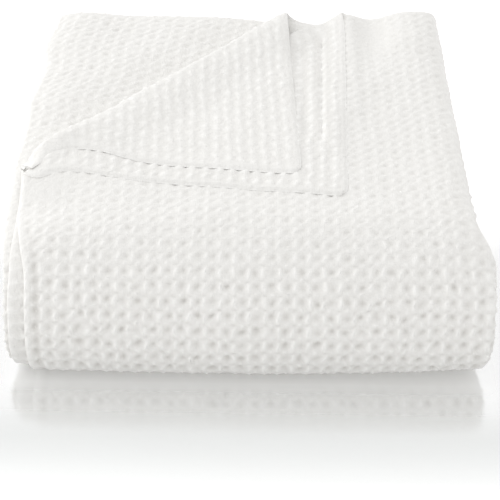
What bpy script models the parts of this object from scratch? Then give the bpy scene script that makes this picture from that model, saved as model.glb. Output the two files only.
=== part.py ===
"""Waffle weave cotton blanket, folded into a soft stack with one corner of two plies turned back.

The cloth is one sheet.  It is folded in half twice across its width, which makes a bundle of
four plies, and the bundle is then laid up lengthwise: the top panel rolls over the front, runs
under the stack as its base, and goes back and forth inside.  X is to the right, Y to the back.
"""
import math

import bmesh
import bpy
import numpy as np

# Cloth
CLOTH = 0.003            # thickness of the cloth
PLY = 0.005              # from the middle of one ply to the middle of the next
PANEL = 4 * PLY          # from one four-ply panel to the next
BUNDLE = 1.5 * PLY + CLOTH / 2   # half thickness of a bundle
COTTON_WHITE = (0.86, 0.855, 0.845)

# Folded stack
DEPTH = 0.420
HALF_WIDTH = 0.205
FRONT = -DEPTH / 2
BACK = DEPTH / 2
STACK = 6 * PANEL - (PLY - CLOTH)    # top of the upper panel above the floor
TOP_HEM = BACK - 0.005               # back hem of the upper panel
INNER_HEM = BACK - 0.012             # back hem of the panel below it
TOE = 0.021                          # outer radius of the turn where the front meets the floor
ROLL_DEEP = 0.105                    # how far the front roll reaches back
ROLL_HIGH = STACK - TOE
LOW_FRONT = FRONT + 0.045            # centres of the inner bends
LOW_BACK = BACK - 0.021
HIGH_FRONT = FRONT + 0.099
HIGH_BACK = BACK - 0.027

# Each stretch of the bundle's way, from the hem on top to the hem inside: the middle of its
# left fold and of its right fold at its end, and how many cells it has.
STRETCHES = (
    # name, left, right, cells
    ("top", -0.203, 0.186, 0),
    ("front roll", -0.205, 0.202, 7),
    ("toe", -0.202, 0.198, 3),
    ("base", -0.199, 0.194, 0),
    ("low back bend", -0.202, 0.191, 4),
    ("fifth panel", -0.201, 0.193, 0),
    ("low front bend", -0.198, 0.196, 4),
    ("fourth panel", -0.197, 0.196, 0),
    ("high back bend", -0.201, 0.192, 4),
    ("third panel", -0.202, 0.191, 0),
    ("high front bend", -0.197, 0.195, 4),
    ("second panel", -0.198, 0.194, 0),
)
HEM_LEFT = -0.193        # left fold at the hem on top
PLIES = 7                # stretches across: four plies and the three folds between them
ACROSS_CELLS = (0, 5, 0, 3, 0, 3, 0)   # cells of each fold across; 0 is a ply on the lines below
ACROSS_LINES = (0.0, 0.15, 0.32, 0.49, 0.63, 0.705, 0.78, 0.88, 1.0)
TOP_LINES = (-0.060, -0.010, 0.040, 0.090, 0.130, 0.160, 0.183)
INNER_LINES = (-0.070, -0.010, 0.050, 0.125)
SELVEDGE_TOP = -0.203    # free left edge of the outer ply, on top and down the front
SELVEDGE_FRONT = -0.189
SELVEDGE_INNER = -0.204  # free left edge of the ply under it

# Turned-back corners: the two ends of the ridge, where the cloth's corner comes to lie, and the
# radius of the fold.
CORNERS = (
    # ply, left end x, y, back end x, y, corner x, y, radius
    ("outer", -0.203, FRONT + 0.137, 0.098, TOP_HEM, 0.088, FRONT + 0.119, 0.0030),
    ("under", -0.204, FRONT + 0.153, 0.041, TOP_HEM, 0.048, FRONT + 0.146, 0.0085),
)
FOLD_CELLS = 5
NET_MERGE = 0.002        # points of the flat net nearer than this share of a stretch are joined

# Soft rises and hollows of the top, in the middle of each.
SWELLS = (
    # x, y, reach x, reach y, rise
    (0.165, BACK, 0.034, 0.100, 0.007),
    (0.103, BACK, 0.022, 0.100, 0.004),
    (0.070, BACK, 0.024, 0.090, -0.008),
    (-0.180, BACK - 0.010, 0.040, 0.060, 0.005),
    (-0.150, FRONT + 0.170, 0.050, 0.045, 0.009),
    (0.140, FRONT + 0.200, 0.050, 0.060, -0.002),
)
# Where the left side of the top stands out.
LEFT_SIDE = (
    # y, reach, out
    (FRONT + 0.185, 0.035, 0.006),
    (FRONT + 0.266, 0.025, 0.007),
    (FRONT + 0.362, 0.025, 0.005),
)
BARE_RISE = 0.010        # the plies puff up where the two corners no longer lie on them
BARE_RAMP = 0.060
EDGE_DROOP = 0.008       # the top sinks at its sides and back
EDGE_REACH = 0.040
TOP_TAPER = 0.012        # share by which the sides draw in at the top
FLOOR_TAPER = 0.030      # and at the floor
RIGHT_SLANT = 0.005      # the right side draws in towards the back of the top
BULGE = 0.003            # the middle of the front stands out from its ends
CENTRE_X = 0.00233       # middle of the settled stack, which moves to the origin
CENTRE_Y = -0.0025


def smooth(t):
    """Ease from 0 to 1 as t goes from 0 to 1."""
    t = np.clip(t, 0.0, 1.0)
    return t * t * (3.0 - 2.0 * t)


def straight(t, y_start, y_end, level, up):
    """Places along a flat panel, with its upward or downward normal."""
    y = y_start + (y_end - y_start) * t
    z = np.full_like(t, BUNDLE + PANEL * level)
    return y, z, np.zeros_like(t), np.full_like(t, up)


def bend(t, centre, radii, turn, outside):
    """Places along part of an ellipse; the normal points away from its centre if outside is 1."""
    angle = np.radians(turn[0] + (turn[1] - turn[0]) * t)
    y = centre[0] + radii[0] * np.cos(angle)
    z = centre[1] + radii[1] * np.sin(angle)
    normal_y = np.cos(angle) / radii[0]
    normal_z = np.sin(angle) / radii[1]
    size = np.hypot(normal_y, normal_z) * outside
    return y, z, normal_y / size, normal_z / size


def bundle_way(index, t):
    """Middle line and normal of the four-ply bundle on one stretch of its way."""
    half = PANEL / 2
    roll_y = FRONT + ROLL_DEEP
    toe = (FRONT + TOE, TOE)
    roll = (ROLL_DEEP - BUNDLE, ROLL_HIGH - BUNDLE)
    stretch = (
        lambda: straight(t, TOP_HEM, roll_y, 5, 1.0),
        lambda: bend(t, (roll_y, TOE), roll, (90, 180), 1.0),
        lambda: bend(t, toe, (TOE - BUNDLE, TOE - BUNDLE), (180, 270), 1.0),
        lambda: straight(t, toe[0], LOW_BACK, 0, -1.0),
        lambda: bend(t, (LOW_BACK, BUNDLE + half), (half, half), (-90, 90), 1.0),
        lambda: straight(t, LOW_BACK, LOW_FRONT, 1, 1.0),
        lambda: bend(t, (LOW_FRONT, BUNDLE + 3 * half), (half, half), (270, 90), -1.0),
        lambda: straight(t, LOW_FRONT, HIGH_BACK, 2, -1.0),
        lambda: bend(t, (HIGH_BACK, BUNDLE + 5 * half), (half, half), (-90, 90), 1.0),
        lambda: straight(t, HIGH_BACK, HIGH_FRONT, 3, 1.0),
        lambda: bend(t, (HIGH_FRONT, BUNDLE + 7 * half), (half, half), (270, 90), -1.0),
        lambda: straight(t, HIGH_FRONT, INNER_HEM, 4, -1.0),
    )
    return stretch[index]()


def ply_section(index, t, left, right, selvedge):
    """Place and outward direction across the bundle on one ply or on a fold between plies."""
    zero = np.zeros_like(t)
    one = np.ones_like(t)
    if index == 0:
        return selvedge + (right - selvedge) * t, zero + 1.5 * PLY, zero, one
    if index == 2:
        return right + (left - right) * t, zero - 1.5 * PLY, zero, -one
    if index == 4:
        return left + (right - left) * t, zero - 0.5 * PLY, zero, one
    if index == 6:
        return right + (SELVEDGE_INNER - right) * t, zero + 0.5 * PLY, zero, -one
    centre, height, radius, start, turn, outside = {
        1: (right, 0.0, 1.5 * PLY, 0.5, -1.0, 1.0),
        3: (left, -PLY, 0.5 * PLY, -0.5, -1.0, 1.0),
        5: (right, 0.0, 0.5 * PLY, -0.5, 1.0, -1.0),
    }[index]
    angle = math.pi * (start + turn * t)
    x = centre + radius * np.cos(angle)
    return x, height + radius * np.sin(angle), outside * np.cos(angle), outside * np.sin(angle)


def ridge_frame(corner):
    """Start of the fold's bend, its direction and the direction out to the cloth's corner."""
    start = np.array(corner[1:3])
    along = np.array(corner[3:5]) - start
    along /= np.linalg.norm(along)
    out = np.array((-along[1], along[0]))
    return start - out * (corner[7] + CLOTH / 2), along, out


def turn_back(corner, x, y, up):
    """Lay the part of a ply past its ridge back over it: x, y and height above the ply."""
    start, along, out = ridge_frame(corner)
    radius = corner[7]
    free = np.array((corner[1], TOP_HEM)) - start
    goal = np.array(corner[5:7]) - start
    past = free @ out - math.pi * radius
    slide = (goal @ along - free @ along) / past
    stretch = -(goal @ out) / past
    u = (x - start[0]) * out[0] + (y - start[1]) * out[1]
    v = (x - start[0]) * along[0] + (y - start[1]) * along[1]
    angle = np.clip(u / radius, 0.0, math.pi)
    over = np.maximum(u - math.pi * radius, 0.0)
    u_new = np.minimum(u, 0.0) + (radius - up) * np.sin(angle) - stretch * over
    v_new = v + slide * over
    rise = radius - (radius - up) * np.cos(angle)
    return (start[0] + out[0] * u_new + along[0] * v_new,
            start[1] + out[1] * u_new + along[1] * v_new, rise)


def settle(x, y, z):
    """Soften the stack: the height swells and sinks, the sides draw in, the front bulges."""
    share = np.minimum(z / STACK, 1.0)
    start, _, out = ridge_frame(CORNERS[1])
    past = (x - start[0]) * out[0] + (y - start[1]) * out[1] - CORNERS[1][7] - CLOTH / 2
    rise = BARE_RISE * smooth(past / BARE_RAMP)
    for centre_x, centre_y, reach_x, reach_y, height in SWELLS:
        rise += height * np.exp(-((x - centre_x) / reach_x) ** 2 - ((y - centre_y) / reach_y) ** 2)
    near_side = np.clip((np.abs(x) - HALF_WIDTH) / EDGE_REACH + 1.0, 0.0, 1.2)
    near_back = np.clip((y - BACK) / EDGE_REACH + 1.0, 0.0, 1.2)
    rise -= EDGE_DROOP * (near_side ** 2 + 0.5 * near_back ** 2)
    x_new = x * (1.0 - TOP_TAPER * share ** 6 - FLOOR_TAPER * (1.0 - share) ** 6)
    side = np.clip(x / HALF_WIDTH, -1.0, 1.0)
    x_new -= RIGHT_SLANT * share * np.maximum(side, 0.0) * np.clip(y / BACK, -0.8, 1.0)
    for centre, reach, out in LEFT_SIDE:
        x_new += np.minimum(side, 0.0) * out * share ** 3 * np.exp(-((y - centre) / reach) ** 2)
    y_new = y - BULGE * (1.0 - side ** 2) * np.clip(-y / BACK, 0.0, 1.0)
    return x_new - CENTRE_X, y_new - CENTRE_Y, z + rise * share ** 4


def cloth_point(q, s, outward):
    """Place of the cloth at q across and s along, shifted outward from its middle."""
    places = np.zeros((len(q), 3))
    ply = np.minimum(q.astype(int), PLIES - 1)
    stretch = np.minimum(s.astype(int), len(STRETCHES) - 1)
    for j in range(len(STRETCHES)):
        before = STRETCHES[max(j - 1, 0)]
        for i in range(PLIES):
            here = np.nonzero((ply == i) & (stretch == j))[0]
            if len(here) == 0:
                continue
            t = s[here] - j
            start_left = before[1] if j else HEM_LEFT
            widen = smooth(2.0 * t) if j == 1 else t
            left = start_left + (STRETCHES[j][1] - start_left) * widen
            right = before[2] + (STRETCHES[j][2] - before[2]) * widen
            drop = smooth(t) if j == 1 else np.full_like(t, float(j > 1))
            selvedge = SELVEDGE_TOP + (SELVEDGE_FRONT - SELVEDGE_TOP) * drop
            x, w, normal_x, normal_w = ply_section(i, q[here] - i, left, right, selvedge)
            y, z, normal_y, normal_z = bundle_way(j, t)
            off = outward[here]
            turned = {0: CORNERS[0], PLIES - 1: CORNERS[1]}.get(i) if j == 0 else None
            if turned is None:
                x = x + normal_x * off
                w = w + normal_w * off
            else:
                x, y, rise = turn_back(turned, x, y, normal_w * off)
                w = w + rise
            places[here] = np.stack((x, y + normal_y * w, z + normal_z * w), axis=1)
    return np.stack(settle(*places.T), axis=1)


def lines_along():
    """Values of s where the net of the cloth has its cross lines."""
    ends = {0: (TOP_HEM, FRONT + ROLL_DEEP), 3: (FRONT + TOE, LOW_BACK), 5: (LOW_BACK, LOW_FRONT),
            7: (LOW_FRONT, HIGH_BACK), 9: (HIGH_BACK, HIGH_FRONT), 11: (HIGH_FRONT, INNER_HEM)}
    lines = [0.0]
    for j, stretch in enumerate(STRETCHES):
        if stretch[3]:
            lines += [j + (k + 1) / stretch[3] for k in range(stretch[3])]
            continue
        start, end = ends[j]
        inner = [(y - start) / (end - start) for y in (INNER_LINES if j else TOP_LINES)]
        lines += sorted(j + t for t in inner if 0.04 < t < 0.96) + [j + 1.0]
    return lines


def lines_across():
    """Values of q where the net of the cloth has its long lines."""
    lines = [0.0]
    for i, cells in enumerate(ACROSS_CELLS):
        if cells:
            lines += [i + (k + 1) / cells for k in range(cells)]
        else:
            steps = ACROSS_LINES if i in (0, 4) else [1.0 - t for t in reversed(ACROSS_LINES)]
            lines += [i + t for t in steps[1:]]
    return lines


def cut_ridge(net, corner, first_q, sign):
    """Add the lines of a turned-back corner's fold to the flat net."""
    start, _, out = ridge_frame(corner)
    right = STRETCHES[0][2]
    base_x = corner[1] if sign > 0 else right
    q_rate = (right - corner[1]) * sign * out[0]
    s_rate = (FRONT + ROLL_DEEP - TOP_HEM) * out[1]
    u_base = (base_x - start[0]) * out[0] + (TOP_HEM - start[1]) * out[1]
    for k in range(FOLD_CELLS + 1):
        s = (math.pi * corner[7] * k / FOLD_CELLS - u_base) / s_rate
        faces = [f for f in net.faces
                 if first_q < f.calc_center_median().x < first_q + 1 and f.calc_center_median().y < 1]
        edges = {e for f in faces for e in f.edges}
        verts = {v for f in faces for v in f.verts}
        bmesh.ops.bisect_plane(net, geom=[*faces, *edges, *verts], dist=1e-6,
                               plane_co=(first_q, s, 0), plane_no=(q_rate, s_rate, 0))


def cloth_net():
    """Flat net of the cloth: its points as q and s, and its faces."""
    across = lines_across()
    along = lines_along()
    net = bmesh.new()
    rows = [[net.verts.new((q, s, 0)) for q in across] for s in along]
    for row, below in zip(rows, rows[1:]):
        for k in range(len(across) - 1):
            net.faces.new((row[k], row[k + 1], below[k + 1], below[k]))
    cut_ridge(net, CORNERS[0], 0, 1)
    cut_ridge(net, CORNERS[1], PLIES - 1, -1)
    bmesh.ops.remove_doubles(net, verts=net.verts, dist=NET_MERGE)
    net.verts.index_update()
    points = np.array([v.co[:2] for v in net.verts])
    faces = [[v.index for v in f.verts] for f in net.faces]
    rim = [[v.index for v in e.verts] for e in net.edges if e.is_boundary]
    net.free()
    return points, faces, rim


def make_cloth(name):
    """The folded cloth as one closed solid: its two faces and the rim between them."""
    points, faces, rim = cloth_net()
    q, s = points.T
    half = np.full(len(q), CLOTH / 2)
    places = np.vstack((cloth_point(q, s, half), cloth_point(q, s, -half)))
    count = len(q)
    solid = bmesh.new()
    corners = [solid.verts.new(place) for place in places.tolist()]
    for face in faces:
        solid.faces.new([corners[k] for k in face])
        solid.faces.new([corners[k + count] for k in reversed(face)])
    for a, b in rim:
        solid.faces.new((corners[a], corners[b], corners[b + count], corners[a + count]))
    bmesh.ops.recalc_face_normals(solid, faces=solid.faces)
    bmesh.ops.triangulate(solid, faces=solid.faces, quad_method="SHORT_EDGE")
    mesh = bpy.data.meshes.new(name)
    solid.to_mesh(mesh)
    solid.free()
    mesh.shade_smooth()
    cloth = bpy.data.objects.new(name, mesh)
    bpy.context.scene.collection.objects.link(cloth)
    return cloth


def cotton():
    """Matt white cotton."""
    material = bpy.data.materials.new("white cotton")
    material.use_nodes = True
    shader = material.node_tree.nodes["Principled BSDF"]
    shader.inputs["Base Color"].default_value = (*COTTON_WHITE, 1.0)
    shader.inputs["Roughness"].default_value = 0.9
    shader.inputs["Metallic"].default_value = 0.0
    return material


def main():
    for old in list(bpy.data.objects):
        bpy.data.objects.remove(old)
    blanket = make_cloth("blanket")
    blanket.data.materials.append(cotton())


main()
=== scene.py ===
# Waffle weave cotton blanket, folded in a soft stack with two corners of cloth turned back.
import math

import bpy
import numpy as np
from mathutils import Matrix, Vector


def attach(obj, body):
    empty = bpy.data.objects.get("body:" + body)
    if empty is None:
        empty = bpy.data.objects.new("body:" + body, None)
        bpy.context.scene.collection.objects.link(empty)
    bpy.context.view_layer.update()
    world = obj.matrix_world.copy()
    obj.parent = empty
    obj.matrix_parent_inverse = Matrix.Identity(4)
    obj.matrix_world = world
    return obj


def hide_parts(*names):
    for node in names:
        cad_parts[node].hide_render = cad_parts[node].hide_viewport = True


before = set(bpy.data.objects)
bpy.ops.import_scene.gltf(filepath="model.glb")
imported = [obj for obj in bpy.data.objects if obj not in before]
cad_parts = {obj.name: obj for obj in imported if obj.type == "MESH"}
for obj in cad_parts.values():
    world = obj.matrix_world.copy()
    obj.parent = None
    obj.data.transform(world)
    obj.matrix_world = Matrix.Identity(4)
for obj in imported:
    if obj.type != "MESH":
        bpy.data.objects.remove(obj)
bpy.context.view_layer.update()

# The folded cloth, in metres, folded as its solid is. X is to the right, Y to the back.
folds = {
    "thick": 0.003, "ply": 0.005, "panel": 0.020, "bundle": 0.009, "stack": 0.118,
    "front": -0.210, "back": 0.210, "halfWidth": 0.205,
    "topHem": 0.205, "innerHem": 0.198, "toe": 0.021, "rollDeep": 0.105, "rollHigh": 0.097,
    "lowFront": -0.165, "lowBack": 0.189, "highFront": -0.111, "highBack": 0.183,
    # left and right fold of the four plies, at the hem on top and at the end of each stretch
    "left": (-0.196, -0.2105, -0.2055, -0.202, -0.199, -0.202, -0.201, -0.198, -0.197, -0.201,
             -0.202, -0.197, -0.198),
    "right": (0.186, 0.189, 0.202, 0.198, 0.194, 0.191, 0.193, 0.196, 0.192, 0.189,
              0.191, 0.193, 0.187),
    "selvedgeTop": -0.203, "selvedgeFront": -0.189, "selvedgeInner": -0.204,
    # how many times as soon as linear each side gets to its place on the front roll
    "leftSoon": 2.0, "rightSoon": 3.0, "selvedgeSoon": 1.8,
    # each turned-back corner: left and back end of its ridge, where the corner comes to lie, the
    # ridge's radius, the height above its ply at which it rests and how far past the ridge it gets
    # there; where its hem is pulled: place along the ridge, reach, how far in x and y; and where
    # its ridge bows out: place along the ridge, reach, how far
    "outerCorner": {"left": (-0.203, -0.066), "back": (0.098, 0.205), "lies": (0.088, -0.091),
                    "radius": 0.0024, "rests": 0.0025, "sinks": 0.012,
                    "pulls": ((0.0, 0.016, 0.0, -0.004), (0.036, 0.022, 0.0, 0.005)),
                    "bows": ((0.350, 0.045, 0.009),)},
    "underCorner": {"left": (-0.204, -0.052), "back": (0.041, 0.205), "lies": (0.048, -0.064),
                    "radius": 0.0085, "rests": 0.0102, "sinks": 0.050,
                    "pulls": ((0.003, 0.020, 0.003, -0.022), (0.048, 0.027, 0.0, 0.011)),
                    "bows": ((0.024, 0.016, 0.006),)},
    # near its left end a ridge is tighter and lower, and the cloth is drawn out, by these shares
    "tightEnd": 0.8, "lowEnd": 0.05, "drawEnd": 0.7, "tightReach": 0.022, "drawReach": 0.012,
    # share of a pull at the ridge itself, and how far past the ridge the pull is whole
    "pullStart": 0.3, "pullReach": 0.02,
    "roundCorner": 0.012, "roundShare": 0.3,   # the cloth's own corners are rounded off
}

# How the stack settles, in metres.
settling = {
    # soft rises and hollows of the top: middle x, y, reach x, y, rise
    "swells": ((0.165, 0.210, 0.034, 0.100, 0.007), (0.103, 0.210, 0.022, 0.100, 0.004),
               (0.070, 0.210, 0.024, 0.090, -0.008), (-0.180, 0.200, 0.040, 0.060, 0.005),
               (-0.150, -0.035, 0.045, 0.040, 0.004), (0.140, -0.010, 0.050, 0.060, -0.002),
               (-0.178, -0.108, 0.040, 0.024, -0.005), (-0.225, -0.058, 0.040, 0.028, 0.012),
               (0.124, 0.180, 0.022, 0.050, -0.008), (0.058, 0.185, 0.020, 0.022, 0.003),
               (0.200, 0.205, 0.020, 0.040, 0.005)),
    # creases and ridges of the top: from x, y to x, y, width, rise
    "creases": (((0.073, 0.165), (0.067, -0.012), 0.0022, -0.0030),
                ((0.084, 0.190), (0.076, -0.020), 0.0070, 0.0015),
                ((0.046, 0.145), (0.054, -0.005), 0.0070, -0.0034),
                ((0.101, 0.205), (0.097, 0.030), 0.0110, 0.0028),
                ((0.150, 0.160), (0.115, 0.060), 0.0120, 0.0010)),
    "creaseFade": 0.15,                        # share of its length over which a crease fades
    # where the left side of the top stands out: y, reach, out
    "leftSide": ((-0.025, 0.035, 0.004), (0.056, 0.025, 0.007), (0.152, 0.025, 0.005)),
    "bareRise": 0.010, "bareRamp": 0.060,      # the top is higher where the inner plies are bared
    "edgeDroop": 0.008, "edgeReach": 0.040,    # and sinks at its rim
    # shares by which the sides draw in at the top and at the floor; how far the right side slants
    # and the front bulges
    "topTaper": 0.012, "floorTaper": 0.030, "rightSlant": 0.005, "bulge": 0.003,
    "toeBack": 0.0085, "toeRight": 0.0125, "toeReach": 0.045,   # the toe draws back near the floor
    "frontReach": 0.1,                         # from the middle to where the front begins in full
    "middle": (0.00233, -0.0025),              # moves the middle of the stack's box to the origin
    # soft unevenness of every surface, and its wavelength in height, to the side and to the front
    "wander": 0.0007, "wanderWaves": (0.060, 0.050, 0.055), "wanderSeeds": (11, 12, 13),
}

# The waffle weave, in millimetres where no other unit is named.
weave = {
    "across": 12.6, "along": 12.6, "alongTop": 10.9,   # one waffle, which is shorter on top
    "growFrom": 0.9, "growOver": 0.5,      # stretches along the cloth where it grows longer
    "firstColumn": 2.5,                    # x of a raised column on the front
    # each waffle's spots: place across and along, width, height in shares of it, rise
    "spots": ((0.0, 0.0, 0.20, 0.21, -2.1), (0.5, 0.08, 0.12, 0.25, 1.90),
              (-0.03, 0.5, 0.11, 0.11, 1.55), (0.5, 0.60, 0.14, 0.12, -1.20)),
    "spotsVary": 0.40, "varyWave": 1.4,    # share by which a spot's rise changes, over so many waffles
    "lean": 0.03,                          # share of a waffle by which its columns sway
    "ribWide": 0.24, "backRib": 1.5, "backShare": 0.35,   # the other face: long ribs, flatter spots
    "backPlace": (0.5, 0.1),               # and a bar behind each pit
    "column": 0.12, "columnWide": 0.16, "columnWave": 60.0,   # raised columns join the bars
    # the waffles are flatter on top, up to this stretch along the cloth, and less so over the next
    "topShare": 0.40, "topEnd": 1.1, "topFade": 0.6,
    "patches": 0.30, "patchWave": 17.0,    # and everywhere flatter and higher in patches
    # they are drawn smooth near the left end of a ridge, within this reach in metres, and in these
    # places of the outer ply: middle x, y, reach x, y in metres
    "smoothed": 0.8, "smoothEnd": 0.040,
    "smoothPlaces": ((-0.183, -0.082, 0.035, 0.014), (0.120, 0.165, 0.030, 0.045)),
    "turnOver": 0.02,                      # metres past a ridge where the cloth counts as turned
    "cornerRib": 1.2, "cornerShare": 0.30,   # the under ply's turned corner shows long ribs too
    # shares of a waffle by which it wanders, slowly and quickly, and how far apart, across and along
    "uneven": 0.10, "unevenWaves": (45.0, 40.0), "jostle": 0.13, "jostleWaves": (17.0, 15.0),
    # share by which the floor presses them flat, between these stretches along the cloth
    "pressed": 0.75, "pressedFrom": 2.15, "pressedTo": 4.3, "pressedFade": 0.3,
    # the hem: its width, the band where it ends, its rise and the share of the waffles it keeps; its
    # seam: depth, width and place from the hem's end
    "hem": 7.0, "hemFade": 2.0, "hemRise": 0.30, "hemKeeps": 0.5,
    "stitch": 0.40, "stitchWide": 1.0, "stitchIn": 1.2,
    "dip": 1.0, "dipPlace": 10.5, "dipWide": 3.0,    # trough along the front's selvedge
    # the cloth's rounded edge and its rim's share; a turned edge's slope
    "edgeRound": 2.4, "rimShare": 0.03, "edgeSlope": 0.70, "slopeWide": 2.5,
    "sink": 0.3, "sinkWide": 3.0,          # a turned edge sinks into the weave below it
    # share of the painted shade in the pits halfway up, and the rise that takes all of it away
    "pitShadeMiddle": 0.35, "pitShadeDeep": 3.0,
    "seed": 4,
}


def easeInOut(t):  # 3t^2 - 2t^3 as t goes from 0 to 1, and level outside
    t = np.clip(t, 0.0, 1.0)
    return t * t * (3.0 - 2.0 * t)


def softNoise(a, b, wave, seed):
    # Sum of twelve sines in turned directions, with wavelengths from 0.7 to 1.6 times wave.
    rng = np.random.default_rng(seed)
    total = np.zeros_like(a)
    for turn, size, shift in zip(rng.uniform(0, math.pi, 12), rng.uniform(0.7, 1.6, 12),
                                 rng.uniform(0, 2 * math.pi, 12)):
        total += np.sin(2 * math.pi * (a * math.cos(turn) + b * math.sin(turn)) / (wave * size) + shift)
    return total / 6.0


# The whole cloth is a map of two numbers. s counts the stretches along it: 0 the top, 1 the front
# roll, 2 the toe, 3 the base, 4 the low back bend, 5 to 7 the middle panels, 8 the high back bend
# and 9 to 11 the upper panels. q counts the strips across it: 0, 2, 4 and 6 are the four plies, and
# 1, 3 and 5 the folds that join them.
# The bundle's way in side view: a level run from y to y at a level, or part of an ellipse with its
# centre, radii, angles in degrees; then 1 where the outer ply is on the upper or outer side.
rollY = folds["front"] + folds["rollDeep"]
halfPanel = folds["panel"] / 2
bundleWay = (
    ("run", folds["topHem"], rollY, 5, 1.0),
    ("turn", (rollY, folds["toe"]),
     (folds["rollDeep"] - folds["bundle"], folds["rollHigh"] - folds["bundle"]), (90, 180), 1.0),
    ("turn", (folds["front"] + folds["toe"], folds["toe"]),
     (folds["toe"] - folds["bundle"],) * 2, (180, 270), 1.0),
    ("run", folds["front"] + folds["toe"], folds["lowBack"], 0, -1.0),
    ("turn", (folds["lowBack"], folds["bundle"] + halfPanel), (halfPanel,) * 2, (-90, 90), 1.0),
    ("run", folds["lowBack"], folds["lowFront"], 1, 1.0),
    ("turn", (folds["lowFront"], folds["bundle"] + 3 * halfPanel), (halfPanel,) * 2, (270, 90), -1.0),
    ("run", folds["lowFront"], folds["highBack"], 2, -1.0),
    ("turn", (folds["highBack"], folds["bundle"] + 5 * halfPanel), (halfPanel,) * 2, (-90, 90), 1.0),
    ("run", folds["highBack"], folds["highFront"], 3, 1.0),
    ("turn", (folds["highFront"], folds["bundle"] + 7 * halfPanel), (halfPanel,) * 2, (270, 90),
     -1.0),
    ("run", folds["highFront"], folds["innerHem"], 4, -1.0),
)


def sideView(s):
    # y, z and normal of the bundle's middle line. A run is linear in s, a turn has its angle
    # linear in s and the ellipse's normal.
    y, z, normalY, normalZ = np.zeros((4, len(s)))
    stretch = np.clip(s.astype(int), 0, len(bundleWay) - 1)
    for number, (kind, *shape) in enumerate(bundleWay):
        here = stretch == number
        t = s[here] - number
        if kind == "run":
            start, end, level, up = shape
            y[here] = start + (end - start) * t
            z[here] = folds["bundle"] + folds["panel"] * level
            normalZ[here] = up
        else:
            centre, radii, angles, outside = shape
            angle = np.radians(angles[0] + (angles[1] - angles[0]) * t)
            y[here] = centre[0] + radii[0] * np.cos(angle)
            z[here] = centre[1] + radii[1] * np.sin(angle)
            steep, level = np.cos(angle) / radii[0], np.sin(angle) / radii[1]
            size = np.hypot(steep, level) * outside
            normalY[here], normalZ[here] = steep / size, level / size
    return y, z, normalY, normalZ


def sidesAt(s):
    # x of the left fold, right fold and outer selvedge: linear between the ends of each stretch,
    # except that on the front roll each gets there softly and sooner. The selvedge moves only there.
    stretch = np.clip(s.astype(int), 0, len(bundleWay) - 1)
    t = s - stretch
    leftShare = np.where(stretch == 1, easeInOut(folds["leftSoon"] * t), t)
    rightShare = np.where(stretch == 1, easeInOut(folds["rightSoon"] * t), t)
    left, right = np.array(folds["left"]), np.array(folds["right"])
    drop = easeInOut(folds["selvedgeSoon"] * (s - 1.0))
    return (left[stretch] + (left[stretch + 1] - left[stretch]) * leftShare,
            right[stretch] + (right[stretch + 1] - right[stretch]) * rightShare,
            folds["selvedgeTop"] + (folds["selvedgeFront"] - folds["selvedgeTop"]) * drop)


def frontView(q, s):
    # x, height in the bundle, normal and distance across the cloth in metres, which is x on the
    # outer ply. The plies lie 1.5, -1.5, -0.5 and 0.5 ply heights from the middle of the bundle,
    # with the fold between two plies a half circle.
    ply = folds["ply"]
    left, right, selvedge = sidesAt(s)
    inner = np.full_like(s, folds["selvedgeInner"])
    x, w, normalX, normalW, far = np.zeros((5, len(q)))
    strip = np.clip(q.astype(int), 0, 6)
    reached = right
    strips = ((selvedge, right, 1.5, 1.0), (right, 0.0, 1.5, 0.5, -1.0, 1.0),
              (right, left, -1.5, -1.0), (left, -1.0, 0.5, -0.5, -1.0, 1.0),
              (left, right, -0.5, 1.0), (right, 0.0, 0.5, -0.5, 1.0, -1.0),
              (right, inner, 0.5, -1.0))
    for number, shape in enumerate(strips):
        here = strip == number
        t = q[here] - number
        if number % 2 == 0:
            start, end, height, up = shape
            x[here] = start[here] + (end - start)[here] * t
            w[here] = height * ply
            normalW[here] = up
            reached = reached + (np.abs(end - start) if number else 0.0)
            far[here] = reached[here] - np.abs(end - start)[here] * (1.0 - t)
        else:
            centre, height, radius, first, turn, outside = shape
            angle = math.pi * (first + turn * t)
            x[here] = centre[here] + radius * ply * np.cos(angle)
            w[here] = height * ply + radius * ply * np.sin(angle)
            normalX[here], normalW[here] = outside * np.cos(angle), outside * np.sin(angle)
            far[here] = reached[here] + math.pi * radius * ply * t
            reached = reached + math.pi * radius * ply
    return x, w, normalX, normalW, far


def ridgeLine(corner):
    # Start of the ridge, direction along it and direction out to the cloth's corner.
    start, end = np.array(corner["left"]), np.array(corner["back"])
    along = (end - start) / np.linalg.norm(end - start)
    return start, along, np.array((-along[1], along[0]))


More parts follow.
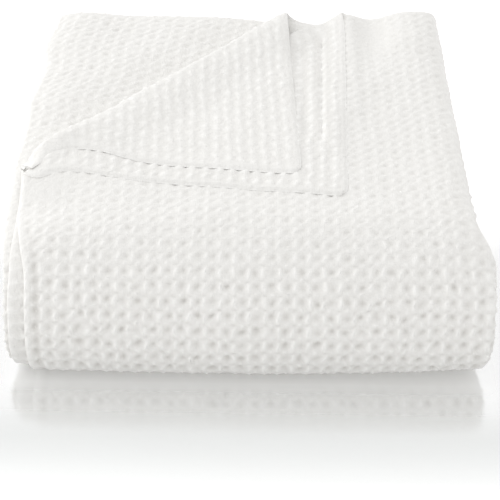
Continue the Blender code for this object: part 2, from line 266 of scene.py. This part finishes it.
def turnBack(corner, x, y, up):
    # What lies past the ridge rolls round a circle and comes to lie over the ply, sheared along
    # the ridge so that the cloth's corner reaches its place. Past the roll it sinks until it
    # rests. By bell-shaped shares the ridge is tighter and the cloth drawn out near the left end,
    # where what lies over is shortened so that the hem keeps its place; the ridge bows out; and
    # the hem is pulled.
    start, along, out = ridgeLine(corner)
    v = (x - start[0]) * along[0] + (y - start[1]) * along[1]
    nearEnd = np.exp(-(np.maximum(v, 0.0) / folds["tightReach"]) ** 2)
    radius = corner["radius"] * (1.0 - folds["tightEnd"] * nearEnd)
    setBack = radius + folds["thick"] / 2
    free = np.array((corner["left"][0], folds["topHem"])) - start
    goal = np.array(corner["lies"]) - start
    past = free @ out + setBack - math.pi * radius
    slide = (goal @ along - free @ along) / past
    stretch = -(goal @ out + setBack) / past
    nearTip = np.exp(-(np.maximum(v, 0.0) / folds["drawReach"]) ** 2)
    drawn = 1.0 + folds["drawEnd"] * nearTip
    u = (x - start[0]) * out[0] + (y - start[1]) * out[1] + setBack
    u = np.where(u > 0.0, u * drawn, u)
    angle = np.clip(u / radius, 0.0, math.pi)
    hem = (v * (free @ out) / (free @ along) + setBack) * drawn
    hemOver = np.maximum(hem - math.pi * radius, 0.001)
    hemKept = hem - math.pi * corner["radius"] * (1.0 - folds["tightEnd"] * nearTip)
    kept = np.clip(hemKept / hemOver, 0.5, 1.0)
    over = np.maximum(u - math.pi * radius, 0.0) * kept
    uNew = np.minimum(u, 0.0) + (radius - up) * np.sin(angle) - stretch * over - setBack
    vNew = v + slide * over
    topSide = easeInOut(2.5 * angle / math.pi - 1.5)
    sunk = easeInOut(over / np.clip(hemOver * kept, 0.0005, corner["sinks"]))
    rests = corner["rests"] * (1.0 - folds["lowEnd"] * nearEnd)
    rise = radius - (radius - up) * np.cos(angle) + (rests - 2 * radius) * sunk
    xNew = start[0] + out[0] * uNew + along[0] * vNew
    yNew = start[1] + out[1] * uNew + along[1] * vNew
    for place, reach, outward in corner["bows"]:
        bowed = outward * np.sin(angle / 2) ** 2 * np.exp(-((v - place) / reach) ** 2) * (1.0 - sunk)
        xNew, yNew = xNew + out[0] * bowed, yNew + out[1] * bowed
    pullGrows = np.minimum(folds["pullStart"] + over / folds["pullReach"], 1.0)
    for place, reach, pullX, pullY in corner["pulls"]:
        pulled = topSide * np.exp(-((v - place) / reach) ** 2) * pullGrows
        xNew, yNew = xNew + pullX * pulled, yNew + pullY * pulled
    return xNew, yNew, rise


def settle(x, y, z):
    # The height gains bell-shaped swells and creases, which fade at both ends, and sinks at the
    # rim, all with the fourth power of the height. The sides draw in at the top and at the floor
    # with the sixth power, the left side stands out with the third, and the front bulges and
    # draws back at its toe with the square of the nearness to the floor.
    share = np.minimum(z / folds["stack"], 1.0)
    start, _, out = ridgeLine(folds["underCorner"])
    past = (x - start[0]) * out[0] + (y - start[1]) * out[1]
    rise = settling["bareRise"] * easeInOut(past / settling["bareRamp"])
    for middleX, middleY, reachX, reachY, height in settling["swells"]:
        rise += height * np.exp(-((x - middleX) / reachX) ** 2 - ((y - middleY) / reachY) ** 2)
    for start, end, width, height in settling["creases"]:
        run = np.array(end) - np.array(start)
        passed = ((x - start[0]) * run[0] + (y - start[1]) * run[1]) / (run @ run)
        off = ((x - start[0]) * run[1] - (y - start[1]) * run[0]) / math.hypot(*run)
        fade = (easeInOut(passed / settling["creaseFade"] + 0.5)
                * easeInOut((1.0 - passed) / settling["creaseFade"] + 0.5))
        rise += height * fade * np.exp(-(off / width) ** 2)
    nearSide = np.clip((np.abs(x) - folds["halfWidth"]) / settling["edgeReach"] + 1.0, 0.0, 1.2)
    nearBack = np.clip((y - folds["back"]) / settling["edgeReach"] + 1.0, 0.0, 1.2)
    rise -= settling["edgeDroop"] * (nearSide ** 2 + 0.5 * nearBack ** 2)
    wander, waves, seeds = settling["wander"], settling["wanderWaves"], settling["wanderSeeds"]
    rise += wander * softNoise(x, y, waves[0], seeds[0])
    xNew = x * (1.0 - settling["topTaper"] * share ** 6 - settling["floorTaper"] * (1.0 - share) ** 6)
    side = np.clip(x / folds["halfWidth"], -1.0, 1.0)
    toRight = np.maximum(side, 0.0)
    xNew -= settling["rightSlant"] * share * toRight * np.clip(y / folds["back"], -0.8, 1.0)
    for middleY, reach, outward in settling["leftSide"]:
        xNew += np.minimum(side, 0.0) * outward * share ** 3 * np.exp(-((y - middleY) / reach) ** 2)
    xNew += wander * side * softNoise(y, z, waves[1], seeds[1])
    front = easeInOut(-y / settling["frontReach"])
    yNew = y - settling["bulge"] * (1.0 - side ** 2) * np.clip(-y / folds["back"], 0.0, 1.0)
    yNew += wander * softNoise(x, z, waves[2], seeds[2]) * front
    yNew += ((settling["toeBack"] + settling["toeRight"] * toRight ** 2) * front
             * np.clip(1.0 - z / settling["toeReach"], 0.0, 1.0) ** 2)
    return (xNew - settling["middle"][0], yNew - settling["middle"][1],
            np.maximum(z + rise * share ** 4, 0.0))


def clothPlace(q, s, outward):
    # Place of the cloth at q across and s along, moved outward from its middle surface.
    x, w, normalX, normalW, _ = frontView(q, s)
    y, z, normalY, normalZ = sideView(s)
    inCorner = (np.clip(1.0 - (x - folds["selvedgeTop"]) / folds["roundCorner"], 0.0, 1.0)
                * np.clip(1.0 - (folds["topHem"] - y) / folds["roundCorner"], 0.0, 1.0))
    rounding = folds["roundShare"] * folds["roundCorner"] * inCorner ** 2
    inCorner = np.where(((q < 1) | (q >= 6)) & (s < 1), rounding, 0.0)
    x, y = x + inCorner, y - inCorner
    for strip, corner in ((q < 1, folds["outerCorner"]), (q >= 6, folds["underCorner"])):
        here = strip & (s < 1)
        xTurned, yTurned, rise = turnBack(corner, x[here], y[here], (normalW * outward)[here])
        x[here], y[here], w[here] = xTurned, yTurned, w[here] + rise
        normalX[here], normalW[here] = 0.0, 0.0
    x, w = x + normalX * outward, w + normalW * outward
    return np.stack(settle(x, y + normalY * w, z + normalZ * w), axis=-1)


# Length along the cloth for each s, on the outer ply.
alongSteps = np.linspace(0.0, 12.0, 4801)
sideY, sideZ, sideNormalY, sideNormalZ = sideView(alongSteps)
outerLine = np.stack((sideY + sideNormalY * 1.5 * folds["ply"],
                      sideZ + sideNormalZ * 1.5 * folds["ply"]))
alongTable = (alongSteps, 1000 * np.append(0.0, np.cumsum(np.hypot(*np.diff(outerLine)))))
# The same in the middle of the plies, which a block's cut follows.
cutTable = (alongSteps, np.append(0.0, np.cumsum(np.hypot(np.diff(sideY), np.diff(sideZ)))))
# Number of waffles along it, which are shorter on top and grow over the start of the front roll.
grown = easeInOut((alongSteps - weave["growFrom"]) / weave["growOver"])
waffleLength = weave["alongTop"] + (weave["along"] - weave["alongTop"]) * grown
rowTable = (alongTable[1], np.append(0.0, np.cumsum(np.diff(alongTable[1]) / waffleLength[:-1])))
# Length across the cloth for each q, halfway down the front.
acrossSteps = np.linspace(0.0, 7.0, 2801)
acrossLengths = 1000 * frontView(acrossSteps, np.full_like(acrossSteps, 1.5))[4]
acrossTable = (acrossSteps, acrossLengths - acrossLengths[0])


def spacedLines(table, spans, grow=0.35):
    # Parameters of the grid's lines. A span has a spacing in millimetres at its start, in the
    # middle and at its end; the spacing grows from an end in proportion to the distance from it.
    parameters, lengths = table
    lines = []
    for first, last, atStart, between, atEnd in spans:
        place = np.linspace(*np.interp((first, last), parameters, lengths), 4000)
        spacing = np.minimum(between, np.minimum(atStart + grow * (place - place[0]),
                                                 atEnd + grow * (place[-1] - place)))
        count = np.append(0.0, np.cumsum((place[1] - place[0]) / spacing[:-1]))
        marks = np.linspace(0.0, count[-1], max(2, round(count[-1]) + 1))
        lines.append(np.interp(np.interp(marks, count, place), lengths, parameters)[:-1])
    return np.concatenate(lines + [[spans[-1][1]]])


def bell(x, width):  # repeats every 1, is 1 at whole numbers and falls off over width
    return np.exp(-(np.sin(math.pi * x) / (math.pi * width)) ** 2)


def waffleHeight(a, b, rib, share):
    # Height of a face in millimetres: the sum of bell-shaped spots in each waffle, a deep pit, an
    # upright bar beside it, a knot below it and a small pit below the bar. Each rises and falls
    # softly from waffle to waffle and sways by a sine; rib adds long ribs, bells across the rows.
    total = rib * (bell(b, weave["ribWide"]) - 0.5)
    for number, (spotA, spotB, wide, tall, height) in enumerate(weave["spots"]):
        change = weave["spotsVary"] * softNoise(a, b, weave["varyWave"], weave["seed"] + 10 + number)
        varied = height * (1.0 + change)
        leant = a - spotA + weave["lean"] * np.sin(2 * math.pi * (b - spotB))
        total += share * varied * bell(leant, wide) * bell(b - spotB, tall)
    return total


def faceShift(q, s, sign):
    # Distance of a face from the cloth's middle surface: half the thickness and the waffles,
    # which are flatter on the hem, on the floor and where the cloth is drawn smooth. The edge is
    # rounded; on a turned-back corner its upper face slopes down to the edge, its lower face
    # stays level, and both sink a little. The share turned is 1 where the outward face comes to
    # lie below and -1 where it comes to lie on top. Also the place in waffles, and the share of
    # painted shade for the pits, which grows the lower the face lies.
    x, _, _, _, far = frontView(q, s)
    y = sideView(s)[0]
    far = 1000 * far
    along = np.interp(s, *alongTable)
    rows = np.interp(along, *rowTable)
    seed = weave["seed"]
    a = (far - weave["firstColumn"]) / weave["across"] + 0.5
    a = a + weave["uneven"] * softNoise(far, along, weave["unevenWaves"][0], seed)
    a = a + weave["jostle"] * softNoise(far, along, weave["jostleWaves"][0], seed + 3)
    b = rows + weave["uneven"] * softNoise(far, along, weave["unevenWaves"][1], seed + 1)
    b = b + weave["jostle"] * softNoise(far, along, weave["jostleWaves"][1], seed + 4)
    turned, smooth = np.zeros((2, len(q)))
    for strip, corner, below in ((q < 1, folds["outerCorner"], 1.0),
                                 (q >= 6, folds["underCorner"], -1.0)):
        start, ridge, out = ridgeLine(corner)
        past = (x - start[0]) * out[0] + (y - start[1]) * out[1]
        down = (x - start[0]) * ridge[0] + (y - start[1]) * ridge[1]
        share = np.where(strip & (s < 1), easeInOut(past / weave["turnOver"]), 0.0)
        turned += below * share
        smooth += share * np.exp(-(np.maximum(down, 0.0) / weave["smoothEnd"]) ** 2)
    for middleX, middleY, reachX, reachY in weave["smoothPlaces"]:
        place = np.exp(-((x - middleX) / reachX) ** 2 - ((y - middleY) / reachY) ** 2)
        smooth += np.where(q < 1, place, 0.0)
    underTurned = np.maximum(-turned, 0.0)
    if sign > 0:
        spotShare = 1.0 + (weave["cornerShare"] - 1.0) * underTurned
        relief = waffleHeight(a, b, weave["cornerRib"] * underTurned, spotShare)
        columns = weave["column"] * (1.0 + softNoise(far, along, weave["columnWave"], seed + 5))
        columns = columns * (1.0 - underTurned)
        relief += columns * (bell(a - 0.5, weave["columnWide"]) - 0.4)
    else:
        relief = waffleHeight(a + weave["backPlace"][0], b + weave["backPlace"][1], weave["backRib"],
                              weave["backShare"])
    level = 1.0 - easeInOut((s - weave["topEnd"]) / weave["topFade"])
    relief *= 1.0 - (1.0 - weave["topShare"]) * level * (1.0 - np.abs(turned))
    relief *= 1.0 + weave["patches"] * softNoise(far, along, weave["patchWave"], seed + 2)
    relief *= 1.0 - weave["smoothed"] * np.minimum(smooth, 1.0)
    relief *= (1.0 - weave["pressed"] * easeInOut((s - weave["pressedFrom"]) / weave["pressedFade"])
               * easeInOut((weave["pressedTo"] - s) / weave["pressedFade"]))
    width = 1000 * frontView(np.full_like(q, acrossSteps[-1]), s)[4]    # at the other selvedge
    fromSelvedge = far - 1000 * sidesAt(s)[2]
    edge = np.minimum(np.minimum(fromSelvedge, width - far), alongTable[1][-1] - along)
    edge = np.abs(np.minimum(edge, along))
    inHem = 1.0 - easeInOut((edge - weave["hem"] + weave["hemFade"] / 2) / weave["hemFade"])
    relief = relief * (1.0 - (1.0 - weave["hemKeeps"]) * inHem) + weave["hemRise"] * inHem
    seam = np.exp(-((edge - weave["hem"] + weave["stitchIn"]) / weave["stitchWide"]) ** 2)
    relief -= weave["stitch"] * seam
    dip = np.exp(-((fromSelvedge - weave["dipPlace"]) / weave["dipWide"]) ** 2)
    relief -= weave["dip"] * dip * easeInOut(2 * (s - 1.0))
    half = 500 * folds["thick"]
    inward = np.minimum(edge / weave["edgeRound"], 1.0)
    rounded = np.sqrt(np.clip(1.0 - (1.0 - inward) ** 2, weave["rimShare"], 1.0))
    sloped = 1.0 - weave["edgeSlope"] * np.exp(-(edge / weave["slopeWide"]) ** 2)
    thin = rounded + (sloped - rounded) * np.abs(turned)
    shift = 0.001 * (sign * thin * (half + relief) + turned * (1.0 - thin) * half)
    shift += 0.001 * weave["sink"] * turned * np.exp(-(edge / weave["sinkWide"]) ** 2)
    # painted shade: share of the grey pit colour, more the deeper the face lies, none on raised bars
    pitShadeShare = np.clip(weave["pitShadeMiddle"] - relief / weave["pitShadeDeep"], 0.0, 1.0)
    return shift, far / weave["across"], rows, pitShadeShare


def makeSheet(name, across, along):
    # A closed sheet: its two faces on one grid and a rim round them. The normals come from the
    # grid with one more line on each side where the cloth goes on, so that joins don't show.
    acrossLines, alongLines = spacedLines(acrossTable, across), spacedLines(alongTable, along)
    padAcross = (int(acrossLines[0] > 0), int(acrossLines[-1] < acrossSteps[-1]))
    padAlong = (int(alongLines[0] > 0), int(alongLines[-1] < alongSteps[-1]))
    q = np.pad(acrossLines, padAcross, mode="reflect", reflect_type="odd")
    s = np.pad(alongLines, padAlong, mode="reflect", reflect_type="odd")
    shape = (len(s), len(q))
    inside = (slice(padAlong[0], shape[0] - padAlong[1]),
              slice(padAcross[0], shape[1] - padAcross[1]))
    qAll, sAll = (grid.ravel() for grid in np.meshgrid(q, s))
    places, normals, paintedPitShades = [], [], []
    for sign in (1.0, -1.0):
        shift, waffleU, waffleV, pitShadeShares = faceShift(qAll, sAll, sign)
        face = clothPlace(qAll, sAll, shift).reshape(*shape, 3)
        normal = sign * np.cross(np.gradient(face, axis=0), np.gradient(face, axis=1))
        normal /= np.maximum(np.linalg.norm(normal, axis=2, keepdims=True), 1e-12)
        places.append(face[inside].reshape(-1, 3))
        normals.append(normal[inside].reshape(-1, 3))
        paintedPitShades.append(pitShadeShares.reshape(shape)[inside].ravel())
    rows, columns = len(alongLines), len(acrossLines)
    number = np.arange(rows * columns).reshape(rows, columns)
    quads = np.stack((number[:-1, :-1], number[1:, :-1], number[1:, 1:], number[:-1, 1:]), -1)
    quads = quads.reshape(-1, 4)
    loop = np.concatenate((number[0, :-1], number[:-1, -1], number[-1, :0:-1], number[:0:-1, 0]))
    after = np.roll(loop, -1)
    lower = rows * columns    # the second face's first vertex
    rim = np.stack((loop, after, after + lower, loop + lower), -1)
    faces = np.concatenate((quads, quads[:, ::-1] + lower, rim))
    mesh = bpy.data.meshes.new(name)
    mesh.vertices.add(2 * lower)
    mesh.loops.add(faces.size)
    mesh.polygons.add(len(faces))
    mesh.vertices.foreach_set("co", np.concatenate(places).astype(np.float32).ravel())
    mesh.loops.foreach_set("vertex_index", faces.ravel().astype(np.int32))
    mesh.polygons.foreach_set("loop_start", np.arange(0, faces.size, 4, dtype=np.int32))
    waffles = [grid.reshape(shape)[inside].ravel() for grid in (waffleU, waffleV)]
    layer = mesh.uv_layers.new(name="waffles")
    wafflesAtCorners = np.tile(np.stack(waffles, -1), (2, 1))[faces.ravel()]
    layer.data.foreach_set("uv", wafflesAtCorners.astype(np.float32).ravel())
    # each point keeps its share of the painted shade in the pits
    paintedPitShade = mesh.attributes.new("paintedPitShade", "FLOAT", "POINT")
    paintedPitShade.data.foreach_set("value", np.concatenate(paintedPitShades).astype(np.float32))
    mesh.update(calc_edges=True)
    mesh.shade_smooth()
    mesh.normals_split_custom_set_from_vertices(np.concatenate(normals).tolist())
    piece = bpy.data.objects.new(name, mesh)
    bpy.context.scene.collection.objects.link(piece)
    width = np.interp((across[0][0], across[-1][1]), *acrossTable)
    length = np.interp((along[0][0], along[-1][1]), *cutTable)
    print(name, "has", 2 * len(faces), "triangles")
    return piece, ((width[1] - width[0]) / 1000, length[1] - length[0])


def linearColour(hexText):  # sRGB hex to linear
    channels = [int(hexText[k:k + 2], 16) / 255 for k in (1, 3, 5)]
    return [c / 12.92 if c <= 0.04045 else ((c + 0.055) / 1.055) ** 2.4 for c in channels] + [1.0]


def addNode(tree, kind, settings=(), links=()):
    # Settings are attributes or input sockets by name; links join an input to another output.
    node = tree.nodes.new(kind)
    for key, value in dict(settings).items():
        if isinstance(key, str) and hasattr(node, key):
            setattr(node, key, value)
        else:
            node.inputs[key].default_value = value
    for key, source in dict(links).items():
        tree.links.new(source, node.inputs[key])
    return node


cottonLook = {
    # the white varies in soft clouds about 33 mm wide, and a painted shade greys it in the pits
    "white": "#FAF9F7", "shaded": "#F4F3F0", "cloudSize": 30.0, "paintedPitShade": "#DDDBD7",
    "roughness": 0.9, "sheen": 0.15, "gloss": 0.2,
    "yarnsPerWaffle": 8,    # about 1.6 mm; the real yarns are finer than the render can show
    "yarnDepth": 0.00018, "bump": 0.6, "waver": 0.6,    # metres deep, strength, unevenness
    # fuzz about 1 mm and slubs about 4 mm wide, as grains a metre, and the slubs' share
    "fuzzSize": 900.0, "slubSize": 260.0, "slubShare": 10.0,
}


def makeCotton(look):
    # Soft spun cotton, woven and washed: matt white, with yarns over the waffles and a light fuzz.
    material = bpy.data.materials.new("wovenWhiteCotton")
    material.use_nodes = True
    tree = material.node_tree
    tree.nodes.clear()
    place = addNode(tree, "ShaderNodeUVMap", {"uv_map": "waffles"}).outputs[0]
    # the Wave node has 20 radians a unit
    yarn = {"Scale": 2 * math.pi / 20 * look["yarnsPerWaffle"], "Distortion": look["waver"],
            "Detail": 1.0, "Detail Scale": 0.8}
    warp = addNode(tree, "ShaderNodeTexWave", {"bands_direction": "X"} | yarn, {"Vector": place})
    weft = addNode(tree, "ShaderNodeTexWave", {"bands_direction": "Y"} | yarn, {"Vector": place})
    yarns = addNode(tree, "ShaderNodeMath", {"operation": "MULTIPLY"},
                    {0: warp.outputs["Fac"], 1: weft.outputs["Fac"]})
    onCloth = {"Vector": addNode(tree, "ShaderNodeTexCoord").outputs["Object"]}
    fuzz = addNode(tree, "ShaderNodeTexNoise", {"Scale": look["fuzzSize"], "Detail": 2.0}, onCloth)
    slubs = addNode(tree, "ShaderNodeTexNoise", {"Scale": look["slubSize"], "Detail": 1.0}, onCloth)
    uneven = addNode(tree, "ShaderNodeMath", {"operation": "MULTIPLY_ADD", 1: look["slubShare"]},
                     {0: slubs.outputs["Fac"], 2: fuzz.outputs["Fac"]})
    height = addNode(tree, "ShaderNodeMath", {"operation": "ADD"},
                     {0: yarns.outputs[0], 1: uneven.outputs[0]})
    bump = addNode(tree, "ShaderNodeBump", {"Strength": look["bump"], "Distance": look["yarnDepth"]},
                   {"Height": height.outputs[0]})
    cloud = addNode(tree, "ShaderNodeTexNoise", {"Scale": look["cloudSize"], "Detail": 3.0}, onCloth)
    tint = addNode(tree, "ShaderNodeMix", {"data_type": "RGBA"}, {"Factor": cloud.outputs["Fac"]})
    tint.inputs[6].default_value = linearColour(look["white"])
    tint.inputs[7].default_value = linearColour(look["shaded"])
    # painted shade: the white turns grey in the pits by each point's share
    paintedPitShade = addNode(tree, "ShaderNodeAttribute", {"attribute_name": "paintedPitShade"})
    paintedPitShadeMix = addNode(tree, "ShaderNodeMix", {"data_type": "RGBA"},
                          {"Factor": paintedPitShade.outputs["Fac"], 6: tint.outputs[2]})
    paintedPitShadeMix.inputs[7].default_value = linearColour(look["paintedPitShade"])
    shader = addNode(tree, "ShaderNodeBsdfPrincipled",
                     {"Roughness": look["roughness"], "Sheen Weight": look["sheen"],
                      "Specular IOR Level": look["gloss"]},
                     {"Base Color": paintedPitShadeMix.outputs[2], "Normal": bump.outputs[0]})
    addNode(tree, "ShaderNodeOutputMaterial", (), {"Surface": shader.outputs[0]})
    return material


# The one cloth in blocks that a mesh can hold: strips of q across and s along, each with its grid
# spacing in millimetres at the start, in the middle and at the end.
blocks = {
    "outer_ply_and_turned_corner": {
        "across": ((0, 1, 0.35, 1.75, 1.75), (1, 2, 1.75, 2.0, 2.0)),
        "along": ((0, 1, 0.35, 1.75, 1.75),)},
    "outer_ply_front": {
        "across": ((0, 1, 0.35, 1.35, 1.35), (1, 2, 1.35, 2.0, 2.0)),
        "along": ((1, 3, 1.3, 1.3, 1.3),)},
    "under_ply_and_turned_corner": {
        "across": ((5, 6, 2.0, 2.0, 2.0), (6, 6.37, 2.0, 7.0, 1.9), (6.37, 7, 1.9, 1.9, 0.4)),
        "along": ((0, 0.83, 0.4, 1.9, 1.9), (0.83, 1, 1.9, 5.0, 2.0))},
    "under_ply_front": {
        "across": ((5, 6, 2.0, 2.0, 2.0), (6, 6.93, 2.0, 7.0, 1.5), (6.93, 7, 1.5, 1.5, 0.4)),
        "along": ((1, 3, 1.7, 1.7, 1.7),)},
    "inner_plies_bared_on_top": {
        "across": ((2, 3, 2.5, 8.0, 2.5), (3, 4, 1.4, 1.4, 1.4), (4, 4.62, 1.8, 1.8, 1.8),
                   (4.62, 5, 1.8, 8.0, 2.0)),
        "along": ((0, 0.83, 0.4, 1.9, 1.9), (0.83, 1, 1.9, 5.0, 2.0))},
    "inner_plies_front": {
        "across": ((2, 3, 2.5, 8.0, 2.5), (3, 4, 1.4, 1.4, 1.4), (4, 5, 2.5, 8.0, 2.5)),
        "along": ((1, 3, 1.7, 1.7, 1.7),)},
}
# Inside the stack the plies' flat middles are coarse; at the back bends the outer ply is fine.
stackAcross = ((0, 1, 0.6, 26.0, 3.0), (1, 2, 3.0, 3.0, 3.0), (2, 3, 3.0, 26.0, 3.0),
               (3, 4, 2.0, 2.0, 2.0), (4, 5, 3.0, 26.0, 3.0), (5, 6, 2.0, 2.0, 2.0),
               (6, 7, 3.0, 26.0, 0.6))
bendAcross = ((0, 1, 0.6, 2.2, 2.2), (1, 2, 2.2, 3.0, 3.0)) + stackAcross[2:]
blocks["stack_base"] = {"across": stackAcross, "along": ((3, 4, 3.6, 3.6, 3.6),)}
blocks["stack_low_back_bend"] = {"across": bendAcross, "along": ((4, 5, 2.2, 2.2, 2.2),)}
blocks["stack_middle"] = {"across": stackAcross, "along": ((5, 8, 3.6, 3.6, 3.6),)}
blocks["stack_high_back_bend"] = {"across": bendAcross, "along": ((8, 9, 2.2, 2.2, 2.2),)}
blocks["stack_upper"] = {"across": stackAcross, "along": ((9, 12, 3.6, 3.6, 0.6),)}

cotton = makeCotton(cottonLook)
for name, block in blocks.items():
    sheet, flat = makeSheet(name, block["across"], block["along"])
    sheet.data.materials.append(cotton)
    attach(sheet, "root")
    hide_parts("blanket")

# Plain studio: a white floor with a soft mirror in front that fades from the cloth outward, and
# a painted grey reflection of the cloth on the matt white there; a bright wall behind and two
# softboxes.
studio = {
    "floorHalf": 6.0, "paintedReflectionGrey": "#A6A9A7", "mirrorTone": "#F8F8F8", "mirrorRoughness": 0.15,
    "floorGlow": 0.30,
    # shares of the mirror and of the painted reflection, each by the distance from the cloth over the
    # reach
    "reach": 0.16,
    "mirror": ((0.0, 0.60), (0.10, 0.74), (0.19, 0.70), (0.28, 0.48), (0.36, 0.25), (0.46, 0.10),
               (0.60, 0.0)),
    "paintedReflection": ((0.0, 0.35), (0.13, 0.60), (0.26, 0.82), (0.40, 0.78), (0.54, 0.66), (0.68, 0.52),
             (1.0, 0.0)),
    "frontWhole": -0.10, "frontEnd": 0.05,    # y up to which they are whole, and where they end
    # the wall is bright on one side and dims between two cosines of the angle to that side
    "brightSide": (-0.38, 0.92, 0.0), "skyBack": 1.03, "skyFront": 0.75,
    "brightFrom": 0.35, "dimFrom": -0.5,
    "key": 8.5, "keyPlace": (-1.0, -0.1, 2.4), "keySize": 1.6,
    "side": 5.0, "sidePlace": (-1.6, 0.5, 0.7), "sideSize": 1.0,
}


def makeFloor(look):
    # White acrylic, matt and lightly polished near the stack, where it mirrors the cloth. In
    # front of the stack a painted grey reflection of the cloth greys the matt white, fading outward.
    mesh = bpy.data.meshes.new("floor")
    half = look["floorHalf"]
    corners = [(-half, -half, 0), (half, -half, 0), (half, half, 0), (-half, half, 0)]
    mesh.from_pydata(corners, [], [(0, 1, 2, 3)])
    floor = bpy.data.objects.new("floor", mesh)
    bpy.context.scene.collection.objects.link(floor)
    material = bpy.data.materials.new("whiteAcrylicFloor")
    material.use_nodes = True
    tree = material.node_tree
    tree.nodes.clear()
    place = addNode(tree, "ShaderNodeTexCoord").outputs["Object"]
    # the distance outside the stack's rectangle
    size = addNode(tree, "ShaderNodeVectorMath", {"operation": "ABSOLUTE"}, {0: place})
    beyond = addNode(tree, "ShaderNodeVectorMath", {"operation": "SUBTRACT"}, {0: size.outputs[0]})
    beyond.inputs[1].default_value = (folds["halfWidth"], folds["halfWidth"], 0.0)
    outside = addNode(tree, "ShaderNodeVectorMath", {"operation": "MAXIMUM"}, {0: beyond.outputs[0]})
    outside.inputs[1].default_value = (0.0, 0.0, 0.0)
    distance = addNode(tree, "ShaderNodeVectorMath", {"operation": "LENGTH"}, {0: outside.outputs[0]})
    ahead = addNode(tree, "ShaderNodeSeparateXYZ", (), {0: place}).outputs["Y"]
    inFront = addNode(tree, "ShaderNodeMapRange",
                      {"interpolation_type": "SMOOTHSTEP", "From Min": look["frontWhole"],
                       "From Max": look["frontEnd"], "To Min": 1.0, "To Max": 0.0}, {"Value": ahead})
    shares = []
    for levels in (look["mirror"], look["paintedReflection"]):
        share = addNode(tree, "ShaderNodeMath", {"operation": "DIVIDE", 1: look["reach"]},
                        {0: distance.outputs["Value"]})
        fade = addNode(tree, "ShaderNodeValToRGB", (), {"Fac": share.outputs[0]})
        stops = fade.color_ramp.elements
        stops[-1].position = 1.0
        for number, (reached, level) in enumerate(levels):
            stop = stops[number] if number in (0, len(levels) - 1) else stops.new(reached)
            stop.position, stop.color = reached, (level, level, level, 1.0)
        shares.append(addNode(tree, "ShaderNodeMath", {"operation": "MULTIPLY"},
                              {0: fade.outputs["Color"], 1: inFront.outputs["Result"]}))
    mirrorShare, paintedReflectionShare = shares
    # painted reflection: the matt white turns grey in front of the stack, where the cloth is mirrored
    paintedReflection = addNode(tree, "ShaderNodeMix", {"data_type": "RGBA"}, {"Factor": paintedReflectionShare.outputs[0]})
    paintedReflection.inputs[6].default_value = linearColour("#FFFFFF")
    paintedReflection.inputs[7].default_value = linearColour(look["paintedReflectionGrey"])
    matt = addNode(tree, "ShaderNodeBsdfDiffuse", (), {"Color": paintedReflection.outputs[2]})
    glow = addNode(tree, "ShaderNodeEmission",
                   {"Color": linearColour("#FFFFFF"), "Strength": look["floorGlow"]})
    white = addNode(tree, "ShaderNodeAddShader", (), {0: matt.outputs[0], 1: glow.outputs[0]})
    gloss = addNode(tree, "ShaderNodeBsdfGlossy",
                    {"Color": linearColour(look["mirrorTone"]), "Roughness": look["mirrorRoughness"]})
    mixed = addNode(tree, "ShaderNodeMixShader", (), {0: mirrorShare.outputs[0], 1: white.outputs[0],
                                                      2: gloss.outputs[0]})
    addNode(tree, "ShaderNodeOutputMaterial", (), {"Surface": mixed.outputs[0]})
    mesh.materials.append(material)


def makeLights(look):
    # A white wall of light behind the cloth, which dims towards the front, and softboxes that
    # look at the origin.
    world = bpy.data.worlds.new("studio")
    bpy.context.scene.world = world
    world.use_nodes = True
    tree = world.node_tree
    direction = addNode(tree, "ShaderNodeTexCoord").outputs["Generated"]
    backward = addNode(tree, "ShaderNodeVectorMath", {"operation": "DOT_PRODUCT"}, {0: direction})
    backward.inputs[1].default_value = look["brightSide"]
    level = addNode(tree, "ShaderNodeMapRange",
                    {"interpolation_type": "SMOOTHSTEP", "From Min": look["dimFrom"],
                     "From Max": look["brightFrom"], "To Min": look["skyFront"],
                     "To Max": look["skyBack"]}, {"Value": backward.outputs["Value"]})
    background = tree.nodes["Background"]
    background.inputs["Color"].default_value = linearColour("#FFFFFF")
    tree.links.new(level.outputs["Result"], background.inputs["Strength"])
    for lampName in ("key", "side"):
        lamp = bpy.data.lights.new(lampName + "Softbox", "AREA")
        lamp.energy = look[lampName]
        lamp.size = look[lampName + "Size"]
        lampObject = bpy.data.objects.new(lampName + "Softbox", lamp)
        lampObject.location = look[lampName + "Place"]
        towards = Vector(look[lampName + "Place"])
        lampObject.rotation_euler = towards.to_track_quat("Z", "Y").to_euler()
        bpy.context.scene.collection.objects.link(lampObject)


cameraSet = {
    "place": (0.0056, -1.1402, 0.9670), "pitch": 0.7153, "yaw": 0.0057, "roll": 0.0089,  # radians
    "focal": 1539.97, "frame": 500.0,    # focal length and frame in the picture's pixels
    "sensor": 36.0,
}


def makeCamera(view):
    # Looks along +Y turned by yaw, tipped down by pitch, then rolled about its own axis.
    pitch, yaw, roll = view["pitch"], view["yaw"], view["roll"]
    forward = Vector((-math.sin(yaw) * math.cos(pitch), math.cos(yaw) * math.cos(pitch),
                      -math.sin(pitch)))
    level = Vector((math.cos(yaw), math.sin(yaw), 0.0))
    upright = level.cross(forward)
    right = math.cos(roll) * level + math.sin(roll) * upright
    up = -math.sin(roll) * level + math.cos(roll) * upright
    camera = bpy.data.cameras.new("camera")
    camera.sensor_width = view["sensor"]
    camera.lens = view["focal"] * view["sensor"] / view["frame"]
    cameraObject = bpy.data.objects.new("camera", camera)
    turn = Matrix((right, up, -forward)).transposed().to_4x4()
    cameraObject.matrix_world = Matrix.Translation(view["place"]) @ turn
    bpy.context.scene.collection.objects.link(cameraObject)
    bpy.context.scene.camera = cameraObject


makeFloor(studio)
makeLights(studio)
makeCamera(cameraSet)
bpy.context.scene.view_settings.view_transform = "Standard"
print("floor, lights and camera set")
